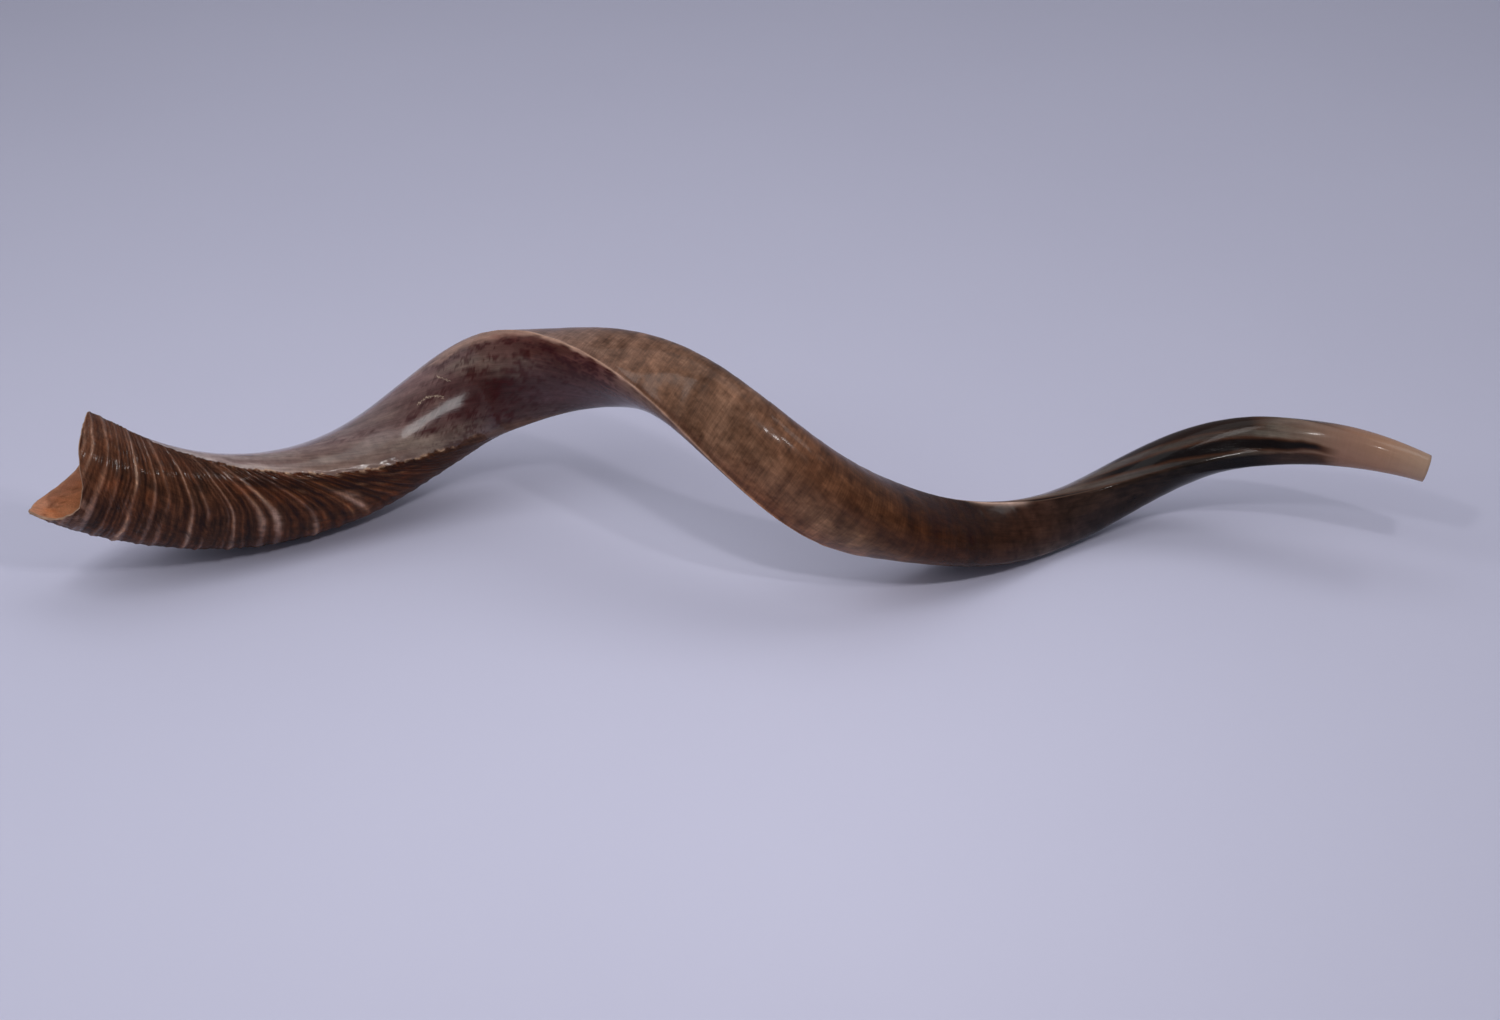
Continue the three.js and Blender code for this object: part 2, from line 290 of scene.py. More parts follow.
def paint(s, deg, L, a, b, rings, bark, edge):
    """Colour of the outer skin. deg runs 0 to 360."""
    wrap = (deg + 180) % 360 - 180
    big = cloud(L / 46, a / 13, b / 13, 51)
    fleck = cloud(L / 11, a / 5, b / 5, 52)
    stroke = cloud(L / 60, a / 2.6, b / 2.6, 53)
    fine = cloud(L / 5, a / 2.2, b / 2.2, 54)

    # bark: the tone follows the ring height, with painted shade in the valleys and crests painted pale, partly worn
    # keratin and partly a painted highlight
    h = np.clip(rings * 1.22 - 0.16 + 0.08 * fleck, 0, 1.15)
    h = np.clip(h - 0.10 * smooth(s, 0.075, 0.03), 0, None) * (1 - 0.35 * smooth(deg, 150, 172))
    tone = shades(h, ((0, (46, 24, 15)), (0.12, (60, 35, 23)), (0.30, (77, 47, 33)), (0.52, (91, 58, 43)), (0.72, (112, 79, 64)), (0.92, (142, 111, 96)), (1.15, (180, 150, 136))))
    warm = smooth(0.5 * big + 0.5 * fleck + 0.35 * fine, 0.0, 0.9)
    tone = mix(tone, tone * np.array([1.60, 1.18, 0.86]), warm * 0.55)
    cold = smooth(cloud(L / 9, a / 8, b / 8, 65), 0.1, 0.8)
    tone = mix(tone, tone * np.array([0.62, 0.70, 0.80]), cold * 0.8)
    tone = tone * (1 + 0.38 * cloud(L / 1.9, a / 1.8, b / 1.8, 66, 2, 0.8))[..., None] * np.array([0.92, 0.82, 0.74])
    tone = tone * np.stack([np.interp(s, [0.04, 0.08, 0.12, 0.17], [1.25, 1.28, 1.02, 1.30]), np.interp(s, [0.04, 0.08, 0.12, 0.17], [1.20, 1.38, 0.97, 1.16]), np.interp(s, [0.04, 0.08, 0.12, 0.17], [1.04, 1.33, 0.82, 0.80])], -1)
    tone = mix(tone, shades(h, ((0, (78, 43, 28)), (0.3, (112, 70, 50)), (0.6, (142, 100, 78)), (1.1, (182, 148, 128)))), 0.55 * smooth(s, 0.036, 0.006))
    tone = mix(tone, shades(h, ((0, (76, 42, 29)), (1.0, (128, 93, 76)))), 0.6 * smooth(deg, 146, 170) * smooth(s, 0.13, 0.03))
    worn = smooth(s - rim(np.radians(deg)) + 0.003 * fleck, 0.011, 0.003) * smooth(wrap, 105, 60) * smooth(wrap, -12, 0)
    tone = mix(tone, mix(np.broadcast_to(lin(158, 120, 102), tone.shape), lin(78, 64, 60), smooth(fine + 0.4 * fleck, 0.3, 0.8)), 0.7 * worn * smooth(h + 0.5 * fleck, -0.05, 0.55))
    # near the blunt ridge the ends of the rings draw out into long dark and pale splinters
    splinter = noise(L / 13, deg / 3.0, 0.6, 56) + 0.7 * noise(L / 6, deg / 1.7, 0.3, 57)
    there = bell_curve(deg, edge - 15, 13) * smooth(s, 0.07, 0.13) * smooth(s, 0.32, 0.26)
    tone = mix(tone, lin(36, 17, 10), 0.75 * there * smooth(splinter, 0.05, 0.7))
    tone = mix(tone, lin(132, 92, 66), 0.55 * there * smooth(splinter, -0.25, -0.8))
    # pale patches on a few strong ring crests, partly worn keratin and partly a painted highlight where these crests
    # catch the light
    for at, where, ds, dd, much in ((0.1345, 128, 0.0024, 15, 0.85), (0.1250, 122, 0.0022, 12, 0.4), (0.1915, 143, 0.0026, 13, 0.9), (0.1960, 152, 0.0040, 5, 0.6), (0.158, 118, 0.002, 12, 0.4)):
        q = bell_curve(bent(s, deg), at, ds) * bell_curve(deg, where, dd) * (0.75 + 0.5 * fine)
        tone = mix(tone, lin(184, 148, 128), much * q)
    tone = mix(tone, lin(38, 18, 10), 0.45 * bell_curve(deg, edge - 13, 7) * smooth(s, 0.10, 0.17) * (0.8 + 0.5 * fleck))

    # outer face past the bark: sanded, mottled brown that darkens toward the tip
    by_keel = shades(s, ((0.20, (80, 56, 46)), (0.28, (92, 66, 55)), (0.33, (116, 90, 80)), (0.36, (118, 92, 82)), (0.40, (114, 84, 68)), (0.44, (111, 77, 58)), (0.50, (113, 79, 58)), (0.54, (123, 89, 67)), (0.57, (131, 98, 75)), (0.62, (114, 80, 56)), (0.68, (92, 64, 46)), (0.74, (72, 56, 48)), (0.80, (54, 42, 37)), (0.88, (32, 26, 25)), (0.93, (80, 58, 46)), (1.0, (170, 132, 108))))
    middle = shades(s, ((0.20, (80, 55, 46)), (0.28, (90, 62, 51)), (0.33, (110, 82, 70)), (0.40, (111, 79, 63)), (0.44, (113, 81, 63)), (0.48, (114, 79, 59)), (0.52, (108, 73, 53)), (0.56, (92, 59, 41)), (0.60, (80, 49, 32)), (0.64, (68, 40, 26)), (0.68, (66, 40, 28)), (0.72, (78, 63, 54)), (0.76, (64, 52, 46)), (0.80, (48, 37, 31)), (0.88, (28, 22, 21)), (0.93, (80, 58, 46)), (1.0, (170, 132, 108))))
    by_ridge = shades(s, ((0.20, (78, 53, 44)), (0.30, (92, 66, 55)), (0.36, (108, 80, 66)), (0.48, (118, 80, 57)), (0.52, (106, 69, 47)), (0.56, (90, 57, 38)), (0.60, (70, 40, 23)), (0.64, (54, 29, 17)), (0.68, (50, 28, 18)), (0.72, (57, 35, 26)), (0.76, (50, 33, 26)), (0.80, (46, 31, 21)), (0.84, (38, 27, 21)), (0.88, (26, 20, 19)), (0.93, (80, 58, 46)), (1.0, (170, 132, 108))))
    face = mix(mix(by_keel, middle, smooth(deg, 38, 78)), by_ridge, smooth(deg, 85, 130))
    face = face * np.interp(s, [0.38, 0.43, 0.46, 0.50, 0.54, 0.58, 0.62, 0.66, 0.69, 0.72, 0.78], [1.04, 0.84, 0.76, 1.04, 0.82, 0.98, 0.76, 0.68, 1.15, 1.35, 0.88])[..., None]
    at = [0.36, 0.414, 0.449, 0.49, 0.536, 0.582, 0.625, 0.688, 0.743, 0.80, 0.86]
    face = face * np.stack([
        np.interp(s, at, [1.04, 1.07, 0.92, 0.94, 0.92, 1.00, 0.93, 1.14, 0.71, 0.84, 1.0]),
        np.interp(s, at, [1.04, 1.06, 0.91, 1.01, 0.84, 0.94, 0.735, 1.15, 0.82, 0.87, 1.0]),
        np.interp(s, at, [1.04, 1.05, 0.88, 1.08, 0.77, 0.79, 0.53, 1.13, 0.95, 0.92, 1.0])], -1)
    mottle = 0.34 * fleck + 0.30 * big + 0.08 * stroke + 0.22 * fine
    face = face * (1 + 0.50 * mottle[..., None] * np.array([0.9, 1.0, 1.08]))
    lean = s * RUN + 0.10 * (deg - 90)
    bands = noise(lean / 8.0, deg / 55, 0.2, 61) + 0.55 * noise(lean / 3.6, deg / 30, 0.4, 62) + 0.50 * noise(lean / 1.9, deg / 20, 0.4, 63)
    blot = cloud(L / 5.0, a / 5.0, b / 5.0, 64, 4, 0.75)
    face = face * (1 + ((0.32 * bands + 0.26 * blot) * smooth(s, 0.34, 0.41) * smooth(s, 0.90, 0.80))[..., None] * np.array([0.88, 1.0, 1.1]))
    # inner face: polished, purple grey, with dark red smears along the grain
    # toward the bell the inner face is painted pale grey, partly its own colour and partly a painted sheen where it
    # faces up to the light
    near_ridge = shades(s, ((0.0, (172, 150, 148)), (0.075, (162, 141, 139)), (0.105, (148, 127, 122)), (0.135, (137, 114, 107)), (0.165, (123, 98, 88)), (0.195, (114, 91, 82)), (0.225, (112, 88, 80)), (0.255, (118, 95, 85)), (0.285, (100, 75, 68)), (0.315, (88, 64, 62)), (0.345, (92, 69, 67)), (0.40, (88, 64, 60)), (0.50, (84, 62, 56)), (0.62, (96, 72, 62)), (0.665, (136, 108, 95)), (0.70, (118, 94, 83)), (0.735, (92, 75, 66)), (0.765, (68, 57, 51)), (0.80, (38, 32, 29)), (0.83, (16, 12, 12)), (0.90, (24, 18, 16)), (0.93, (110, 80, 62)), (0.945, (148, 110, 90)), (0.970, (167, 128, 104)), (1.0, (176, 146, 124))))
    mid_inner = shades(s, ((0.0, (152, 130, 125)), (0.10, (140, 115, 109)), (0.15, (128, 99, 93)), (0.195, (121, 94, 90)), (0.225, (108, 83, 79)), (0.255, (102, 73, 68)), (0.285, (80, 47, 45)), (0.315, (68, 36, 34)), (0.345, (67, 42, 42)), (0.375, (72, 43, 43)), (0.405, (77, 46, 44)), (0.435, (96, 68, 60)), (0.50, (84, 60, 52)), (0.62, (92, 68, 58)), (0.67, (124, 98, 84)), (0.705, (104, 81, 69)), (0.735, (94, 71, 58)), (0.765, (88, 71, 61)), (0.795, (84, 73, 70)), (0.825, (62, 51, 44)), (0.86, (66, 52, 45)), (0.885, (84, 72, 64)), (0.905, (104, 86, 75)), (0.93, (134, 103, 85)), (0.945, (150, 113, 94)), (0.970, (167, 128, 104)), (1.0, (176, 146, 124))))
    near_keel = shades(s, ((0.0, (152, 130, 125)), (0.15, (140, 112, 106)), (0.20, (140, 112, 110)), (0.225, (130, 99, 98)), (0.255, (127, 92, 90)), (0.285, (104, 73, 70)), (0.315, (98, 66, 60)), (0.345, (88, 52, 46)), (0.375, (74, 38, 31)), (0.405, (87, 48, 43)), (0.435, (112, 82, 70)), (0.50, (100, 76, 66)), (0.62, (96, 72, 62)), (0.70, (100, 82, 74)), (0.765, (90, 76, 70)), (0.80, (66, 55, 51)), (0.83, (44, 34, 30)), (0.87, (58, 48, 42)), (0.89, (82, 72, 63)), (0.915, (118, 97, 84)), (0.945, (146, 112, 95)), (0.970, (163, 126, 104)), (1.0, (176, 146, 124))))
    inner = mix(mix(near_ridge, mid_inner, smooth(deg, 208, 248)), near_keel, smooth(deg, 268, 315))
    plain = smooth(s, 0.90, 0.94)
    inner = inner * (1 + (0.24 * big + 0.20 * stroke + 0.22 * fleck + 0.10 * fine)[..., None] * (1 - 0.9 * plain)[..., None] * np.array([0.8, 1.0, 1.0]))
    inner = mix(inner, inner * np.array([1.0, 1.12, 1.14]), 0.7 * smooth(cloud(L / 70, a / 9, b / 9, 55), 0.0, 0.7) * (1 - plain))

    def blots(spots):
        total = 0
        for at, where, ds, dd, much in spots:
            total = np.maximum(total, much * bell_curve(s + 0.0035 * fleck, at, ds) * bell_curve(deg + 3.5 * fleck + 2.0 * fine, where, dd))
        return total

    spots = smooth(cloud(L / 6.5, a / 4.2, b / 4.2, 58, 4, 0.8), 0.05, 0.65)
    red = blots((
        (0.319, 322, 0.006, 5, 0.85), (0.335, 327, 0.010, 5, 0.75), (0.352, 324, 0.008, 7, 0.7), (0.367, 326, 0.010, 8, 0.85), (0.378, 318, 0.010, 8, 0.8),
        (0.398, 322, 0.012, 6, 0.5), (0.326, 270, 0.011, 6, 0.95), (0.341, 263, 0.009, 6, 0.95), (0.316, 260, 0.010, 6, 0.75), (0.302, 252, 0.011, 7, 0.85),
        (0.286, 241, 0.012, 7, 0.8), (0.262, 234, 0.010, 6, 0.95), (0.270, 244, 0.010, 5, 0.6), (0.253, 252, 0.012, 5, 0.55), (0.262, 268, 0.010, 5, 0.4),
        (0.216, 245, 0.012, 4, 0.45), (0.192, 242, 0.010, 4, 0.45), (0.176, 228, 0.012, 4, 0.4), (0.150, 222, 0.012, 4, 0.3), (0.306, 233, 0.012, 6, 0.5), (0.411, 344, 0.020, 5, 0.5),
    ))
    red = np.clip(red * (0.55 + 0.75 * spots + 0.4 * stroke), 0, 1) + 0.55 * spots * smooth(s, 0.22, 0.30) * smooth(s, 0.46, 0.40) * (1 - 0.7 * bell_curve(deg, 246, 22) * smooth(s, 0.33, 0.36))
    inner = mix(inner, inner * np.array([0.95, 1.0, 1.0]) + lin(16, 15, 14), 0.5 * (s > 0.2) * smooth(s, 0.44, 0.36) * (1 - red))
    pale = blots((
        (0.332, 286, 0.012, 9, 0.75), (0.300, 296, 0.016, 9, 0.8), (0.286, 297, 0.012, 6, 0.5), (0.318, 297, 0.010, 7, 0.6), (0.345, 297, 0.010, 6, 0.7),
        (0.246, 221, 0.016, 8, 0.8), (0.222, 223, 0.010, 6, 0.6), (0.275, 262, 0.006, 5, 0.4), (0.232, 262, 0.010, 5, 0.5), (0.280, 222, 0.014, 6, 0.6), (0.208, 232, 0.012, 4, 0.5),
    ))
    inner = mix(inner, lin(124, 106, 94) * (1 + 0.2 * fine)[..., None], pale * (0.65 + 0.35 * stroke))
    inner = mix(inner, lin(94, 70, 74), 0.5 * blots(((0.352, 250, 0.014, 13, 1.0), (0.380, 258, 0.016, 14, 0.9))))
    inner = mix(inner, inner * 0.84, bell_curve(s, 0.32, 0.06))
    inner = mix(inner, lin(54, 16, 16), np.clip(1.55 * red - 0.10, 0, 0.95))
    inner = inner * (1 + (bell_curve(s, 0.316, 0.03) * bell_curve(deg, 303, 14) * (1 - red))[..., None] * np.array([0.10, 0.18, 0.17]))
    inner = inner * (1 + (bell_curve(s, 0.843, 0.018) * bell_curve(deg, 259, 9))[..., None] * np.array([0.90, 0.46, 0.13]))
    inner = inner * (1 - 0.09 * bell_curve(s, 0.20, 0.035) * bell_curve(deg, 227, 18) - 0.08 * bell_curve(s, 0.255, 0.03) * bell_curve(deg, 290, 16))[..., None]
    # the strip beside the keel stays pale, wide at first and then narrow
    strip = np.interp(s, [0.22, 0.28, 0.32, 0.36, 0.40, 0.56], [318, 318, 330, 348, 353, 354])
    soft_strip = np.interp(s, [0.32, 0.38], [8, 4.5])
    pale_strip = smooth(deg + 4 * fleck + 3 * fine, strip - soft_strip, strip + soft_strip) * smooth(s, 0.20, 0.26) * smooth(s, 0.60, 0.55)
    inner = mix(inner, lin(152, 119, 104) * (1 + 0.22 * fleck)[..., None], 0.9 * pale_strip)
    inner = mix(inner, lin(98, 40, 34), 0.55 * bell_curve(deg, 336, 9) * bell_curve(s, 0.335, 0.016) * smooth(fine + fleck, -0.4, 0.6))

    inner = inner * (1 - 0.07 * plain)[..., None]

    # dark pigment that runs out toward the mouthpiece in three tongues
    soft = 2.6 * noise(L / 14, a / 8, b / 8, 71) + 1.2 * noise(L / 5, a / 4, b / 4, 72)
    tongues = np.zeros_like(s)
    brown = np.zeros_like(s)
    for at, centre, half, start, end, much in (
        ((0.70, 0.78, 0.82, 0.86, 0.90, 0.93), (184, 190, 199, 207, 222, 236), (9, 12, 14, 14, 20, 20), 0.66, 0.936, 1.0),
        ((0.72, 0.78, 0.82, 0.86, 0.90, 0.93), (236, 243, 250, 257, 267, 277), (3, 8, 12, 13, 11, 5), 0.735, 0.937, 1.0),
        ((0.76, 0.80, 0.84, 0.87, 0.89, 0.93), (296, 302, 310, 320, 330, 335), (6, 15, 20, 24, 26, 20), 0.76, 0.893, 0.78),
    ):
        off = np.abs(deg + soft - np.interp(s, at, centre))
        wide = np.interp(s, at, half)
        span = smooth(s + 0.002 * soft, start, start + 0.05) * smooth(s + 0.0015 * soft, end, end - 0.016)
        tongues = np.maximum(tongues, much * span * smooth(off, wide + 4.5, wide - 3.5))
        brown = np.maximum(brown, much * smooth(s, start, start + 0.05) * smooth(s + 0.0015 * soft, end + 0.008, end - 0.006) * smooth(off, wide + 10, wide + 1))
    inner = mix(inner, lin(70, 38, 20), 0.9 * brown)
    inner = mix(inner, lin(15, 11, 11), 0.97 * tongues)
    # a pale grey streak above the ridge toward the tip, partly keratin without pigment and partly a painted sheen
    clear = bell_curve(deg + soft, np.interp(s, [0.78, 0.82, 0.86, 0.90, 0.92], [213, 222, 232, 243, 250]), 8) * smooth(s, 0.74, 0.78) * smooth(s, 0.905, 0.875)
    inner = mix(inner, shades(s, ((0.78, (80, 69, 63)), (0.81, (52, 44, 39)), (0.83, (37, 33, 32)), (0.855, (46, 39, 34)), (0.885, (61, 56, 51)), (0.915, (70, 56, 46)), (0.93, (110, 82, 66)))), 0.85 * clear)

    # where each face lies
    soft_edge = 8 * smooth(s, 0.27, 0.33) * (1 - 0.8 * smooth(s, 0.40, 0.50))
    is_outer = np.where(deg > 300, smooth(wrap, -6, 3), smooth(deg + 2.0 * fleck * smooth(s, 0.27, 0.33), edge + 1.0 + soft_edge, edge - 1.0 - soft_edge))
    near_tip = smooth(s, 0.90, 0.95)
    skin = mix(face, tone, smooth(s + 0.012 * fleck, 0.335, 0.245))
    skin = mix(inner, skin, is_outer * (1 - near_tip))

    ridge_at = ridge_angle(s)
    below = smooth(deg - ridge_at, 1.5, -3.0) * (deg > 150) * smooth(s, 0.70, 0.76) * smooth(s, 0.905, 0.87)
    skin = mix(skin, shades(s, ((0.74, (50, 34, 27)), (0.80, (42, 29, 22)), (0.835, (27, 21, 18)), (0.86, (15, 11, 11)), (0.90, (14, 11, 11)))) * (1 + 0.5 * fleck + 0.4 * fine)[..., None], 0.9 * below)

    # painted highlight: a pale line along the blunt ridge where it catches the light
    skin = mix(skin, lin(214, 178, 160), 0.95 * bell_curve(deg, ridge_at + 1, 6) * smooth(s, 0.655, 0.675) * smooth(s, 0.715, 0.695))
    skin = mix(skin, lin(104, 78, 64), 0.6 * bell_curve(deg, ridge_at + 1, 3) * smooth(s, 0.69, 0.71) * smooth(s, 0.80, 0.76))

    # flaked pale chips where the bark ends
    flake = bell_curve(deg, edge - 0.5, 2.6) * smooth(s, 0.095, 0.125) * smooth(s, 0.30, 0.26)
    flake = flake * smooth(noise(L / 4.6, 0.3, 0.9, 81) + 0.8 * noise(L / 1.7, deg / 3, 0.9, 82), 0.0, 0.7)
    skin = mix(skin, lin(186, 150, 122), 0.85 * flake)
    # keel: a pale worn line, and a dark band just inside it on the outer face
    keel = bell_curve(wrap, 0.5, np.interp(s, [0.2, 0.34, 0.42, 0.56], [5, 5.5, 4.0, 4.0])) * smooth(s, 0.02, 0.05) * smooth(s, 0.66, 0.56)
    keel = keel * (0.72 + 0.35 * noise(L / 7, 0.4, 0.1, 91) + 0.2 * noise(L / 2.5, 0.4, 0.1, 92))
    skin = mix(skin, lin(192, 154, 132), (0.9 - 0.3 * smooth(s, 0.40, 0.47)) * keel)
    line = smooth(wrap, 4.5, 7.5) * smooth(wrap, 19 + 3 * fleck, 12 + 3 * fleck) * smooth(s, 0.375, 0.40) * smooth(s, 0.56, 0.52)
    skin = mix(skin, lin(74, 44, 32), 0.5 * line)
    warm_keel = bell_curve(wrap, 14, 16) * smooth(s, 0.47, 0.53) * smooth(s, 0.66, 0.60)
    skin = mix(skin, skin * np.array([1.25, 1.02, 0.85]), warm_keel)
    return np.clip(skin, 0.004, 0.9)


# ---------------------------------------------------------------- the mesh
ACROSS = 104


def round_positions(n):
    """Angles round the section, closer together on the keel and on the blunt ridge."""
    t = np.linspace(0, 2 * np.pi, 7201)
    d = np.degrees(t)
    weight = 1 + 1.0 * np.exp(-(((d - 184) / 17) ** 2)) + 0.8 * np.exp(-(((d + 180) % 360 - 180) / 13) ** 2)
    total = np.concatenate([[0], np.cumsum((weight[1:] + weight[:-1]) / 2)])
    return np.interp(np.arange(n) / n * total[-1], total, t)


def along_positions():
    a = np.arange(0, 0.325, 0.00070)
    b = np.arange(a[-1] + 0.0010, 0.64, 0.0019)
    c = np.arange(b[-1] + 0.0021, 0.985, 0.0021)
    d = np.linspace(c[-1] + 0.0015, 1.0, 9)
    return np.concatenate([a, b, c, d])


PHI = round_positions(ACROSS)
F = along_positions()
FF, PP = np.meshgrid(F, PHI, indexing="ij")
EDGE_WANDER = 0.0005 * noise(np.cos(PP) * 5, np.sin(PP) * 5, 0.2, 5) + 0.00035 * noise(np.cos(PP) * 15, np.sin(PP) * 15, 0.2, 6)
DEG = np.degrees(PP)
START = rim(PP) + EDGE_WANDER - 0.0022 * bell_curve((DEG + 180) % 360 - 180, -2, 13)
# the rows of the net lie along the rings, which bend back toward the bell near the blunt ridge
bend = sweep(FF, DEG) * smooth(DEG, 346, 205)
S = START + (1 - START) * (FF - bend * smooth(FF, 0.0, 0.055) * smooth(FF, 0.44, 0.27) / (1 - START))
LENGTH = S * RUN
A, B = section(S, PP)

skin = outer_skin(S, PP)
ring = np.roll(skin, -1, 1) - np.roll(skin, 1, 1)
down = np.gradient(skin, axis=0)
normal = np.cross(ring, down)
normal /= np.linalg.norm(normal, axis=-1, keepdims=True)
if ((skin - section_frame(S)[0]) * normal).sum() < 0:
    normal = -normal

edge = bark_edge(S, LENGTH)
rings = ring_relief(S, DEG, LENGTH, A, B)
fade = smooth(S, 0.335, 0.20)
side = np.where(DEG > 300, smooth((DEG + 180) % 360 - 180, -16, 2), smooth(DEG, edge + 1.6, edge - 1.2))
bark = side * smooth(S, 0.33, 0.26)
relief = bark * (1.45 * (rings - 0.38) * (0.55 + 0.45 * fade) * (0.72 + 0.28 * smooth(DEG, 172, 150)) + 0.28)
relief += bark * 0.22 * cloud(LENGTH / 4.5, A / 4, B / 4, 101)
# flakes and broken steps where the bark ends on the blunt ridge
ragged = bell_curve(DEG, edge - 5, 9) * smooth(S, 0.05, 0.12) * smooth(S, 0.33, 0.27)
relief += ragged * (0.55 * noise(LENGTH / 5, DEG / 4.0, 0.2, 102) + 0.35 * noise(LENGTH / 2.2, DEG / 2.5, 0.2, 103))
# past the bark, shallow rings 9 mm apart under the polish, and a soft unevenness everywhere
rest = 1 - bark
swell = noise((LENGTH + 0.10 * (DEG - 90)) / 4.6, DEG / 60, 0.2, 104)
relief += 0.16 * rest * swell * smooth(S, 0.25, 0.38) * smooth(S, 0.95, 0.7) * np.where((DEG < 180), 1, 0.3)
relief += 0.10 * rest * cloud(LENGTH / 30, A / 12, B / 12, 105) * smooth(S, 0.995, 0.95)
# keel: a worn bead with a shallow groove beside it on the outer face
wrap = (DEG + 180) % 360 - 180
relief += 0.28 * bell_curve(wrap, 0.0, 4.0) * smooth(S, 0.22, 0.30) * smooth(S, 0.66, 0.56)
relief -= 0.38 * bell_curve(wrap, 11, 5.0) * smooth(S, 0.34, 0.39) * smooth(S, 0.58, 0.52)
relief += 0.25 * noise(LENGTH / 6, 0.2, 0.9, 106) * bell_curve(wrap, 0.0, 5.0) * smooth(S, 0.30, 0.36) * smooth(S, 0.62, 0.52)
off_ridge = (DEG - ridge_angle(S)) * 0.30
relief += 1.7 * bell_curve(off_ridge, 0, 3.6) * smooth(S, 0.76, 0.82) * smooth(S, 0.925, 0.885)
relief *= smooth(S, 1.0, 0.992)
skin = skin + normal * relief[..., None]

colour = paint(S, DEG, LENGTH, A, B, rings, bark, edge)

# the rounded end at the mouthpiece and the cut face at the bell
last, first = skin[-1], skin[0]
IN_F = np.concatenate([np.arange(0, 0.08, 0.0021), np.arange(0.082, 0.12, 0.0035), np.arange(0.1235, 0.97, 0.0145), np.linspace(0.975, 1.0, 12)])
IF_, IP = np.meshgrid(IN_F, PHI, indexing="ij")
IS = START[0][None, :] + (1 - START[0][None, :]) * IF_
hollow = cavity_wall(IS, IP)
_, end_along, _, _ = section_frame(np.array([1.0]))
_, lip_along, _, _ = section_frame(START[0])


def bridge(a, b, along, steps, bulge):
    out = []
    for t in steps:
        out.append(a + (b - a) * t + along * bulge * (1 - abs(2 * t - 1) ** 2.6))
    return out


tip_ring = bridge(last, hollow[-1], end_along, (0.05, 0.16, 0.34, 0.5, 0.66, 0.84, 0.95), 0.22)
lip_out = hollow[0]
lip_ring = bridge(lip_out, first, -lip_along, (0.04, 0.14, 0.3, 0.5, 0.7, 0.86, 0.96), 0.45)
# order: outside from bell to mouthpiece, across its end, back along the hollow, across the bell's cut face
inside = hollow[::-1]
rings_xyz = [skin, np.array(tip_ring), inside, np.array(lip_ring)]
verts = np.concatenate(rings_xyz, 0)
rows = verts.shape[0]

tip_tone = np.repeat(colour[-1][None], len(tip_ring), 0) * np.linspace(1.02, 1.1, len(tip_ring))[:, None, None]
IL = IS[::-1] * RUN
ia, ib = section(IS[::-1], IP)
inner_noise = cloud(IL / 24, ia / 7, ib / 7, 111)
inner_fine = cloud(IL / 5, ia / 2.5, ib / 2.5, 112)
inner_fibre = cloud(IL / 40, ia / 1.8, ib / 1.8, 113)
# the hollow is painted bright and warm, a painted glow for light shining through the thin wall
hollow_tone = mix(np.broadcast_to(lin(224, 166, 126), IL.shape + (3,)), lin(200, 126, 84), 0.5 + 0.45 * inner_noise)
from_cut = IL - START[0][None, :] * RUN
hollow_tone = mix(hollow_tone, lin(182, 132, 108) * (1 + 0.25 * inner_fine)[..., None], 0.75 * smooth(from_cut + 5 * inner_noise, 16, 5))
hollow_tone = hollow_tone * (1 + 0.07 * inner_fine + 0.03 * inner_fibre)[..., None]
# painted shade: darker further in from the cut face and far down the bore
hollow_tone = hollow_tone * (1.06 - 0.30 * smooth(from_cut, 6, 45))[..., None]
hollow_tone = mix(hollow_tone, lin(150, 90, 54), 0.9 * smooth(IL, 70, 170))
hollow_tone = mix(hollow_tone, lin(96, 60, 38), 0.8 * smooth(IL, 150, 400))
pits = smooth(noise(IL / 2.1, ia / 2.4, ib / 2.4, 114), 0.46, 0.66) * smooth(inner_noise, -0.5, 0.2) * smooth(from_cut, 60, 30) * smooth(from_cut, 5, 10)
hollow_tone = mix(hollow_tone, lin(92, 42, 26), 0.75 * pits)
hollow_tone = mix(hollow_tone, lin(150, 116, 94), smooth(IS[::-1], 0.975, 0.99))
lip_n = len(lip_ring)
lip_tone = np.zeros((lip_n, ACROSS, 3))
lip_mark = cloud(np.cos(PHI)[None] * 14 + np.arange(lip_n)[:, None] * 0.15, np.sin(PHI)[None] * 14, 0.4, 121)
lip_tone[:] = lin(160, 128, 106)
lip_tone = lip_tone * (1 + 0.28 * lip_mark)[..., None]
tones = np.concatenate([colour, tip_tone, hollow_tone, lip_tone], 0)

n_out, n_tip, n_in, n_lip = len(skin), len(tip_ring), len(inside), lip_n
grain = np.zeros((rows, ACROSS, 3))
grain[:n_out] = np.stack([LENGTH, A, B], -1)
grain[n_out:n_out + n_tip] = np.stack([np.full((n_tip, ACROSS), RUN), np.linspace(1, 0.8, n_tip)[:, None] * A[-1], np.linspace(1, 0.8, n_tip)[:, None] * B[-1]], -1)
grain[n_out + n_tip:n_out + n_tip + n_in] = np.stack([IL, ia * 0.9, ib * 0.9], -1)
grain[-n_lip:] = np.stack([np.repeat(LENGTH[0][None], n_lip, 0), A[0] * np.linspace(0.92, 1, n_lip)[:, None], B[0] * np.linspace(0.92, 1, n_lip)[:, None]], -1)
# masks: red = bark, green = hollow or cut face, blue = how plain the keratin is, with no fibre to see
masks = np.zeros((rows, ACROSS, 3))
masks[:n_out, :, 0] = bark
masks[:n_out, :, 2] = 0.85 * smooth(S, 0.90, 0.935)
masks[n_out + n_tip:, :, 1] = 1.0
masks[n_out:, :, 2] = 0.75
masks[n_out + n_tip:n_out + n_tip + n_in, :, 1] = np.where(IS[::-1] > 0.975, 0.15, 1.0)
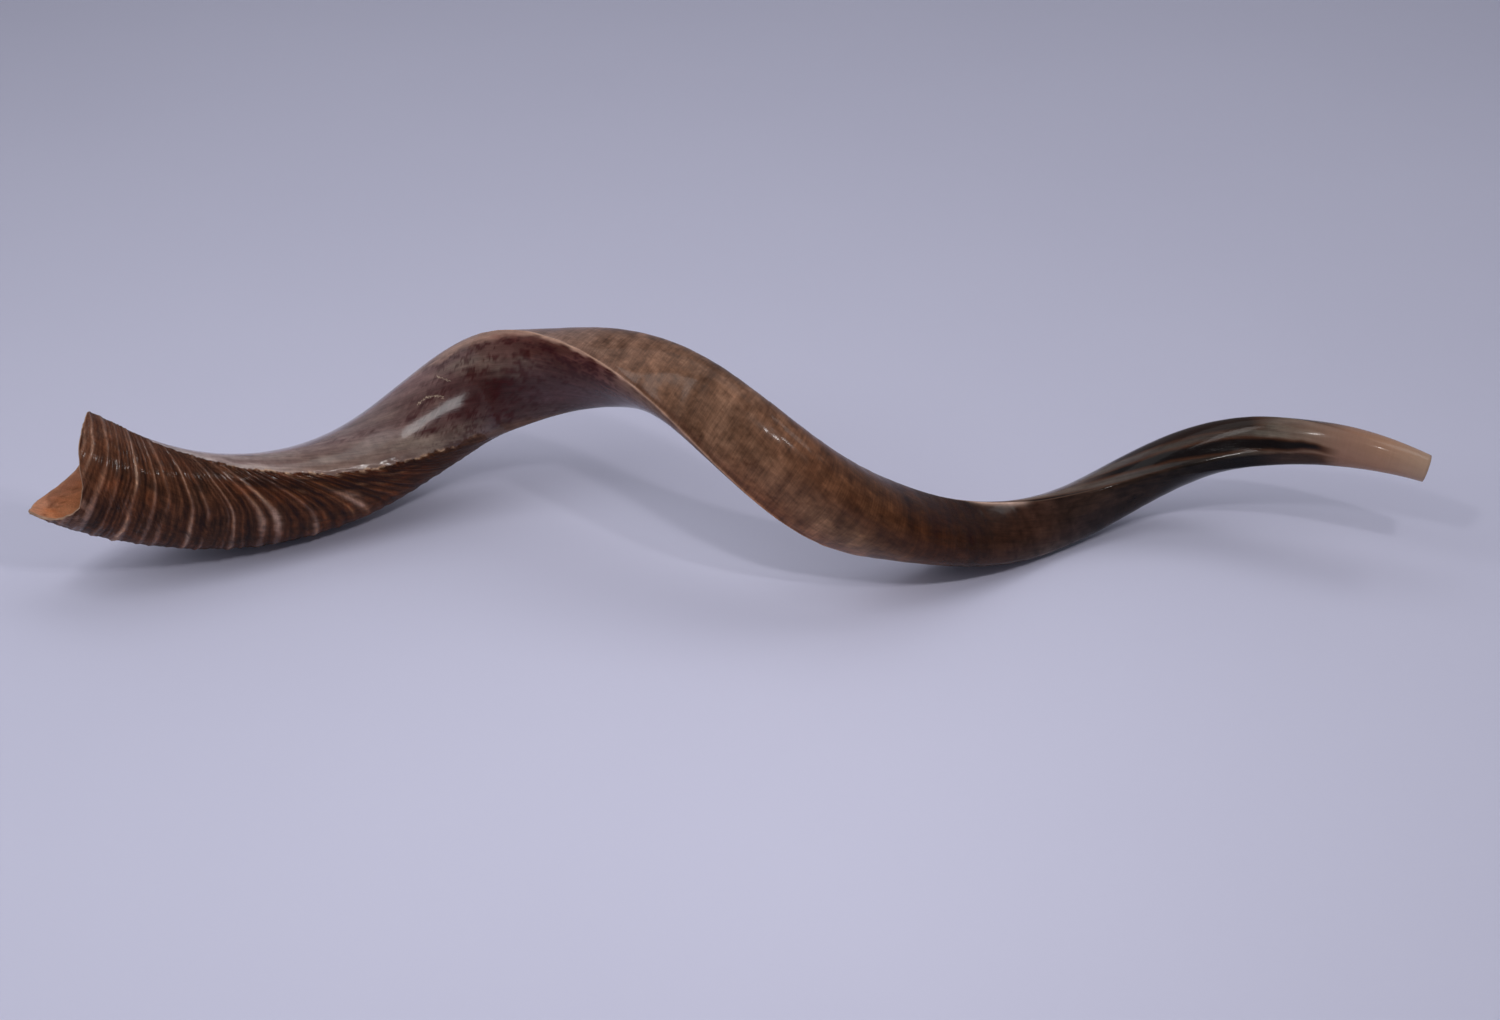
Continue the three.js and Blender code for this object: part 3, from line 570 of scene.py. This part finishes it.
# how rough each part is: polished inner face, sanded outer face, bark, hollow
wrap_all = (DEG + 180) % 360 - 180
sanded = smooth(wrap_all, -2, 3) * smooth(DEG, edge + 3, edge - 3) * smooth(S, 0.74, 0.60)
finish = np.full((rows, ACROSS), 0.16)
finish[:n_out] = 0.13 + 0.19 * sanded + 0.10 * bark
finish[n_out + n_tip:] = np.where(masks[n_out + n_tip:, :, 1] > 0.5, 0.58, 0.22)

# millimetres in the shape's own axes -> metres in the row frame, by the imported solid's box
keep = np.meshgrid(np.linspace(0, 1, 1500), np.linspace(0, 2 * np.pi, 240), indexing="ij")
start = rim(keep[1])
plain = outer_skin(start + (1 - start) * keep[0], keep[1]).reshape(-1, 3)
mid_shape = (plain.min(0) + plain.max(0)) / 2
mid_cad = np.array((CAD_LOW + CAD_HIGH) / 2)
SHIFT = mid_cad - mid_shape / 1000.0
co = verts.reshape(-1, 3) / 1000.0 + SHIFT

# one closed net of quads: the last row joins back to the first
i = np.arange(rows)[:, None]
j = np.arange(ACROSS)[None, :]
i2, j2 = (i + 1) % rows, (j + 1) % ACROSS
quads = np.stack([i * ACROSS + j, i * ACROSS + j2, i2 * ACROSS + j2, i2 * ACROSS + j], -1).reshape(-1, 4)

mesh = bpy.data.meshes.new("horn_skin")
mesh.vertices.add(len(co))
mesh.vertices.foreach_set("co", co.astype(np.float32).ravel())
mesh.loops.add(quads.size)
mesh.loops.foreach_set("vertex_index", quads.astype(np.int32).ravel())
mesh.polygons.add(len(quads))
mesh.polygons.foreach_set("loop_start", np.arange(0, quads.size, 4, dtype=np.int32))
mesh.update(calc_edges=True)
mesh.validate()
mesh.polygons.foreach_set("use_smooth", np.ones(len(mesh.polygons), bool))
p0 = mesh.polygons[ACROSS * 40]
if p0.normal.dot(Vector(normal[40, 0])) < 0:
    mesh.flip_normals()


def store(name, kind, data, width):
    layer = mesh.attributes.new(name, kind, "POINT")
    field = {"FLOAT_COLOR": "color", "FLOAT_VECTOR": "vector", "FLOAT": "value"}[kind]
    if kind == "FLOAT_COLOR":
        data = np.concatenate([data.reshape(-1, 3), np.ones((len(co), 1))], 1)
    layer.data.foreach_set(field, data.astype(np.float32).reshape(-1, width).ravel())


store("tone", "FLOAT_COLOR", tones, 4)
store("masks", "FLOAT_COLOR", masks, 4)
store("grain", "FLOAT_VECTOR", grain.reshape(-1, 3) / 1000.0, 3)
store("finish", "FLOAT", finish.reshape(-1, 1), 1)
mesh.update()
horn = bpy.data.objects.new("horn_visual", mesh)
bpy.context.scene.collection.objects.link(horn)


# ---------------------------------------------------------------- materials
def new_material(name):
    m = bpy.data.materials.new(name)
    m.use_nodes = True
    m.node_tree.nodes.clear()
    return m, m.node_tree.nodes, m.node_tree.links


def add(nodes, kind, **settings):
    n = nodes.new(kind)
    for key, value in settings.items():
        setattr(n, key, value)
    return n


def horn_material(name, level, coat, coat_rough, grit_share=0.15, cracks=(), fibre_share=1.0):
    """Keratin whose colour and roughness come from the mesh, with fibre, blotches and pores on top."""
    m, nodes, links = new_material(name)
    out = add(nodes, "ShaderNodeOutputMaterial")
    bsdf = add(nodes, "ShaderNodeBsdfPrincipled")
    links.new(bsdf.outputs[0], out.inputs[0])
    tone = add(nodes, "ShaderNodeAttribute", attribute_name="tone")
    mask = add(nodes, "ShaderNodeAttribute", attribute_name="masks")
    finish = add(nodes, "ShaderNodeAttribute", attribute_name="finish")
    grain_at = add(nodes, "ShaderNodeAttribute", attribute_name="grain")
    split = add(nodes, "ShaderNodeSeparateColor")
    links.new(mask.outputs["Color"], split.inputs[0])

    def scaled(x, y, z):
        v = add(nodes, "ShaderNodeVectorMath", operation="MULTIPLY")
        links.new(grain_at.outputs["Vector"], v.inputs[0])
        v.inputs[1].default_value = (x, y, z)
        return v.outputs[0]

    def tex(vector, scale, detail, rough):
        n = add(nodes, "ShaderNodeTexNoise")
        links.new(vector, n.inputs["Vector"])
        n.inputs["Scale"].default_value = scale
        n.inputs["Detail"].default_value = detail
        n.inputs["Roughness"].default_value = rough
        return n.outputs["Fac"]

    def maths(op, a, b=None, c=None, clamp=False):
        n = add(nodes, "ShaderNodeMath", operation=op, use_clamp=clamp)
        for k, v in enumerate((a, b, c)):
            if v is None:
                continue
            if isinstance(v, (int, float)):
                n.inputs[k].default_value = v
            else:
                links.new(v, n.inputs[k])
        return n.outputs[0]

    def spread(value, low, high, to_low, to_high):
        n = add(nodes, "ShaderNodeMapRange", clamp=True)
        links.new(value, n.inputs["Value"])
        for key, v in (("From Min", low), ("From Max", high), ("To Min", to_low), ("To Max", to_high)):
            n.inputs[key].default_value = v
        return n.outputs[0]

    bark_out, hollow_out = split.outputs[0], split.outputs[1]
    fibre = tex(scaled(22, 900, 900), 1.0, 3.0, 0.6)       # thin lines along the grain, about a millimetre apart
    mottle = tex(scaled(160, 330, 330), 1.0, 4.0, 0.6)     # blotches of a few millimetres
    grit = tex(scaled(1100, 1300, 1300), 1.0, 3.0, 0.6)    # pores
    crossing = tex(scaled(900, 60, 60), 1.0, 3.0, 0.65)    # fine lines round the section

    patterned = maths("SUBTRACT", 1.0, split.outputs[2])
    f1 = maths("MULTIPLY_ADD", spread(fibre, 0.3, 0.7, -0.16 * fibre_share, 0.16 * fibre_share), patterned, 1.0)
    f2 = maths("MULTIPLY_ADD", spread(mottle, 0.3, 0.7, -0.14 - 0.12 * grit_share, 0.14 + 0.12 * grit_share), patterned, 1.0)
    f3 = spread(grit, 0.3, 0.7, 0.90, 1.10)
    f4 = spread(crossing, 0.3, 0.7, 0.84, 1.16)
    f4b = maths("MULTIPLY_ADD", maths("SUBTRACT", f4, 1.0), maths("ADD", bark_out, 0.15 + 0.6 * grit_share + 1.2 * (1 - fibre_share)), 1.0)
    f3b = maths("MULTIPLY_ADD", maths("SUBTRACT", f3, 1.0), maths("ADD", maths("ADD", maths("MULTIPLY", bark_out, 1.4), hollow_out), grit_share), 1.0)
    gain = maths("MULTIPLY", maths("MULTIPLY", f1, f2), maths("MULTIPLY", f3b, f4b))
    tint = add(nodes, "ShaderNodeVectorMath", operation="SCALE")
    links.new(tone.outputs["Color"], tint.inputs[0])
    links.new(gain, tint.inputs["Scale"])
    colour_out = tint.outputs[0]
    if cracks:
        place = add(nodes, "ShaderNodeSeparateXYZ")
        links.new(grain_at.outputs["Vector"], place.inputs[0])
        wobble = spread(tex(scaled(700, 700, 700), 1.0, 2.0, 0.5), 0.3, 0.7, -0.0011, 0.0011)
    for run, low, high, side, slope, curve in cracks:
        x = maths("SUBTRACT", place.outputs[0], run)
        want = maths("MULTIPLY_ADD", maths("MULTIPLY_ADD", x, curve, slope), x, side)
        off = maths("ABSOLUTE", maths("SUBTRACT", maths("ADD", place.outputs[1], wobble), want))
        thin = spread(off, 0.00015, 0.00048, 0.75, 0.0)
        inside = maths("MULTIPLY", maths("GREATER_THAN", x, low), maths("LESS_THAN", x, high))
        thin = maths("MULTIPLY", thin, maths("MULTIPLY", inside, maths("LESS_THAN", place.outputs[2], 0.0)))
        blend = add(nodes, "ShaderNodeMix", data_type="RGBA")
        links.new(thin, blend.inputs["Factor"])
        links.new(colour_out, blend.inputs["A"])
        blend.inputs["B"].default_value = (0.50, 0.38, 0.27, 1)
        colour_out = blend.outputs["Result"]
    links.new(colour_out, bsdf.inputs["Base Color"])

    rough_noise = spread(tex(scaled(260, 420, 420), 1.0, 3.0, 0.55), 0.3, 0.7, -0.04, 0.05)
    links.new(maths("ADD", rough_noise, finish.outputs["Fac"], clamp=True), bsdf.inputs["Roughness"])
    bsdf.inputs["IOR"].default_value = 1.54
    bsdf.inputs["Specular IOR Level"].default_value = level
    bsdf.inputs["Coat Weight"].default_value = coat
    bsdf.inputs["Coat Roughness"].default_value = coat_rough
    bsdf.inputs["Coat IOR"].default_value = 1.5

    height = maths("MULTIPLY", maths("SUBTRACT", fibre, 0.5), 0.00010)
    height = maths("MULTIPLY_ADD", maths("MULTIPLY", maths("SUBTRACT", grit, 0.5), maths("ADD", maths("MULTIPLY", bark_out, 0.9), maths("MULTIPLY_ADD", hollow_out, 0.7, 0.04))), 0.00042, height)
    height = maths("MULTIPLY_ADD", maths("MULTIPLY", maths("SUBTRACT", crossing, 0.5), maths("ADD", bark_out, 0.05)), 0.00045, height)
    bump = add(nodes, "ShaderNodeBump")
    bump.inputs["Strength"].default_value = 0.85
    bump.inputs["Distance"].default_value = 1.0
    links.new(height, bump.inputs["Height"])
    links.new(bump.outputs[0], bsdf.inputs["Normal"])
    return m


horn.data.materials.append(horn_material("horn polished", 0.30, 0.22, 0.05, 0.35, ((0.265, -0.0100, 0.0106, 0.0005, 0.0, -38.0), (0.274, 0.0, 0.0095, 0.014, -0.95, 20.0))))
horn.data.materials.append(horn_material("horn sanded", 0.06, 0.18, 0.14, 0.9, (), 0.3))
horn.data.materials.append(horn_material("horn bark", 0.05, 0.12, 0.12))
horn.data.materials.append(horn_material("horn hollow", 0.08, 0.0, 0.1))
horn.data.materials.append(horn_material("horn waxed", 0.10, 0.09, 0.05))
horn.data.materials.append(horn_material("horn tip", 0.07, 0.13, 0.04, 0.10))
horn.data.materials.append(horn_material("horn crest", 0.05, 0.60, 0.14))
kind = np.zeros((rows, ACROSS), np.int32)
kind[:n_out][S > 0.305 + 0.01 * noise(DEG / 20, 0.3, 0.2, 131)] = 4
kind[:n_out][S > 0.775] = 5
kind[:n_out][(sanded > 0.5)] = 1
kind[:n_out][(bark > 0.5)] = 2
kind[:n_out][(bark > 0.8) & (rings > 0.50) & (S < 0.16)] = 6
kind[n_out:] = 5
kind[masks[..., 1] > 0.5] = 3
mesh.polygons.foreach_set("material_index", kind.ravel())

# ---------------------------------------------------------------- the floor
floor_mat, fn, fl = new_material("studio floor")
f_out = add(fn, "ShaderNodeOutputMaterial")
f_bsdf = add(fn, "ShaderNodeBsdfPrincipled")
fl.new(f_bsdf.outputs[0], f_out.inputs[0])
f_coord = add(fn, "ShaderNodeTexCoord")
f_noise = add(fn, "ShaderNodeTexNoise")
fl.new(f_coord.outputs["Object"], f_noise.inputs["Vector"])
f_noise.inputs["Scale"].default_value = 3.0
f_noise.inputs["Detail"].default_value = 5.0
f_ramp = add(fn, "ShaderNodeValToRGB")
f_ramp.color_ramp.elements[0].position, f_ramp.color_ramp.elements[1].position = 0.3, 0.7
f_ramp.color_ramp.elements[0].color = (0.590, 0.585, 0.735, 1)
f_ramp.color_ramp.elements[1].color = (0.605, 0.600, 0.750, 1)
fl.new(f_noise.outputs["Fac"], f_ramp.inputs["Fac"])
fl.new(f_ramp.outputs["Color"], f_bsdf.inputs["Base Color"])
f_bsdf.inputs["Roughness"].default_value = 0.55

floor_mesh = bpy.data.meshes.new("floor")
z = CAD_LOW.z
r = 9.0
floor_mesh.from_pydata([(-r, -r, z), (r, -r, z), (r, r, z), (-r, r, z)], [], [(0, 1, 2, 3)])
floor = bpy.data.objects.new("floor", floor_mesh)
floor.data.materials.append(floor_mat)
bpy.context.scene.collection.objects.link(floor)

# ---------------------------------------------------------------- camera, light, world
centre = Vector(SHIFT)
elevation, tilt, distance = math.radians(35.0), 0.00258, 1.354
forward = Vector((0, math.cos(elevation), -math.sin(elevation)))
up = Vector((0, math.sin(elevation), math.cos(elevation)))
right = Vector((1, 0, 0))
right, up = right * math.cos(tilt) - up * math.sin(tilt), up * math.cos(tilt) + right * math.sin(tilt)
cam_data = bpy.data.cameras.new("camera")
cam_data.lens = 50
cam_data.sensor_width = 36
cam_data.clip_end = 50
camera = bpy.data.objects.new("camera", cam_data)
camera.matrix_world = Matrix((
    (right.x, up.x, -forward.x, 0), (right.y, up.y, -forward.y, 0), (right.z, up.z, -forward.z, 0), (0, 0, 0, 1),
))
camera.location = centre - forward * distance
bpy.context.scene.collection.objects.link(camera)
bpy.context.scene.camera = camera


def softbox(name, direction, distance, size, radiance, colour, long_way=(1, 0, 0)):
    """An area light that faces the horn, with its longer side along long_way."""
    data = bpy.data.lights.new(name, "AREA")
    data.shape = "RECTANGLE"
    data.size, data.size_y = size
    data.energy = radiance * math.pi * size[0] * size[1]
    data.color = colour
    lamp = bpy.data.objects.new(name, data)
    d = Vector(direction).normalized()
    x = Vector(long_way) - d * Vector(long_way).dot(d)
    x.normalize()
    y = d.cross(x)
    lamp.matrix_world = Matrix(((x.x, y.x, d.x, 0), (x.y, y.y, d.y, 0), (x.z, y.z, d.z, 0), (0, 0, 0, 1)))
    lamp.location = centre + d * distance
    lamp.visible_camera = False
    bpy.context.scene.collection.objects.link(lamp)
    return lamp


softbox("near lamp", (0.0504, -0.3333, 0.5401), 0.6367, (0.055, 0.04), 100, (1.0, 0.98, 0.98))
softbox("far lamp", (0.4104, -0.5133, 1.0401), 1.2303, (0.08, 0.055), 110, (1.0, 0.98, 0.98))
softbox("left strip", (-0.58, -0.25, 0.77), 1.5, (1.3, 0.35), 5.2, (0.98, 0.99, 1.0), (-0.34, -0.61, -0.54))
softbox("right panel", (0.62, 0.26, 0.74), 1.6, (0.5, 0.35), 3.0, (0.98, 0.99, 1.0), (0, 1, 0))
softbox("overhead", (-0.08, 0.42, 0.90), 1.6, (1.3, 0.8), 0.95, (0.98, 0.99, 1.0))

# the room: pale paper behind and low down all round, dark in front above the table
world = bpy.data.worlds.new("studio")
bpy.context.scene.world = world
world.use_nodes = True
wn, wl = world.node_tree.nodes, world.node_tree.links
w_coord = add(wn, "ShaderNodeTexCoord")
w_split = add(wn, "ShaderNodeSeparateXYZ")
wl.new(w_coord.outputs["Generated"], w_split.inputs[0])


def world_ramp(value, low, high, to_low, to_high):
    n = add(wn, "ShaderNodeMapRange", clamp=True, interpolation_type="SMOOTHSTEP")
    wl.new(value, n.inputs["Value"])
    for key, v in (("From Min", low), ("From Max", high), ("To Min", to_low), ("To Max", to_high)):
        n.inputs[key].default_value = v
    return n.outputs[0]


behind = world_ramp(w_split.outputs["Y"], -0.30, 0.35, 0.0, 1.0)
low_down = world_ramp(w_split.outputs["Z"], 0.14, 0.30, 1.0, 0.0)
either = add(wn, "ShaderNodeMath", operation="MAXIMUM")
wl.new(behind, either.inputs[0])
wl.new(low_down, either.inputs[1])
strength = world_ramp(either.outputs[0], 0.0, 1.0, 0.205, 0.385)
wn["Background"].inputs[0].default_value = (0.88, 0.90, 1.0, 1)
wl.new(strength, wn["Background"].inputs[1])

bpy.context.scene.view_settings.view_transform = "Standard"
bpy.context.scene.view_settings.look = "None"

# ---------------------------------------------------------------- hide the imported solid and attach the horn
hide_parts("horn")
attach(horn, "root")
